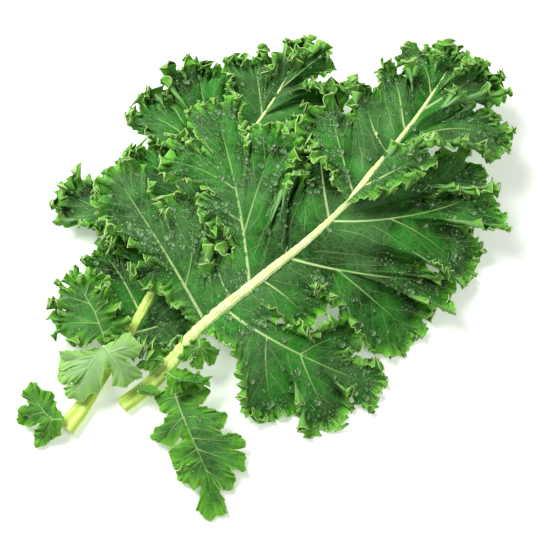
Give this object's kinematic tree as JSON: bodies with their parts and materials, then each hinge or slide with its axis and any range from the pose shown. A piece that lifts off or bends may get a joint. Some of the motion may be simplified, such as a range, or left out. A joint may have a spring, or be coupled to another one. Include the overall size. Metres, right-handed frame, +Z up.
{
  "type": "kale bunch",
  "caption": "Bunch of curly kale lying flat: broad frilled lobed leaves on pale cut stalks, crossed one over the other, with small leaflets by the cut ends.",
  "frame": {"origin": "centre of the bunch's footprint, on the surface it lies on", "axes": "+Z up from the surface; the stalks' cut ends point to -X -Y and the leaf tips to +X +Y"},
  "size_m": [0.3064, 0.3068, 0.0536],
  "materials": {
    "blade_green": "waxy, slightly bluish dark green leaf, soft sheen, wet with small clear drops",
    "stalk_pale_green": "smooth moist pale yellow-green stalk and midrib"
  },
  "bodies": {
    "root": {"top_leaf_blade": "blade_green", "top_leaf_stalk": "stalk_pale_green", "upper_leaf_blade": "blade_green", "upper_leaf_stalk": "stalk_pale_green", "lower_leaf_blade": "blade_green", "lower_leaf_stalk": "stalk_pale_green", "end_leaflet": "blade_green", "saddle_leaflet": "blade_green", "fold_leaflet": "blade_green", "cut_leaflet": "blade_green", "cup_leaflet": "blade_green", "long_leaflet": "blade_green", "ruffle_leaflet": "blade_green", "hem_leaflet": "blade_green"}
  },
  "joints": []
}
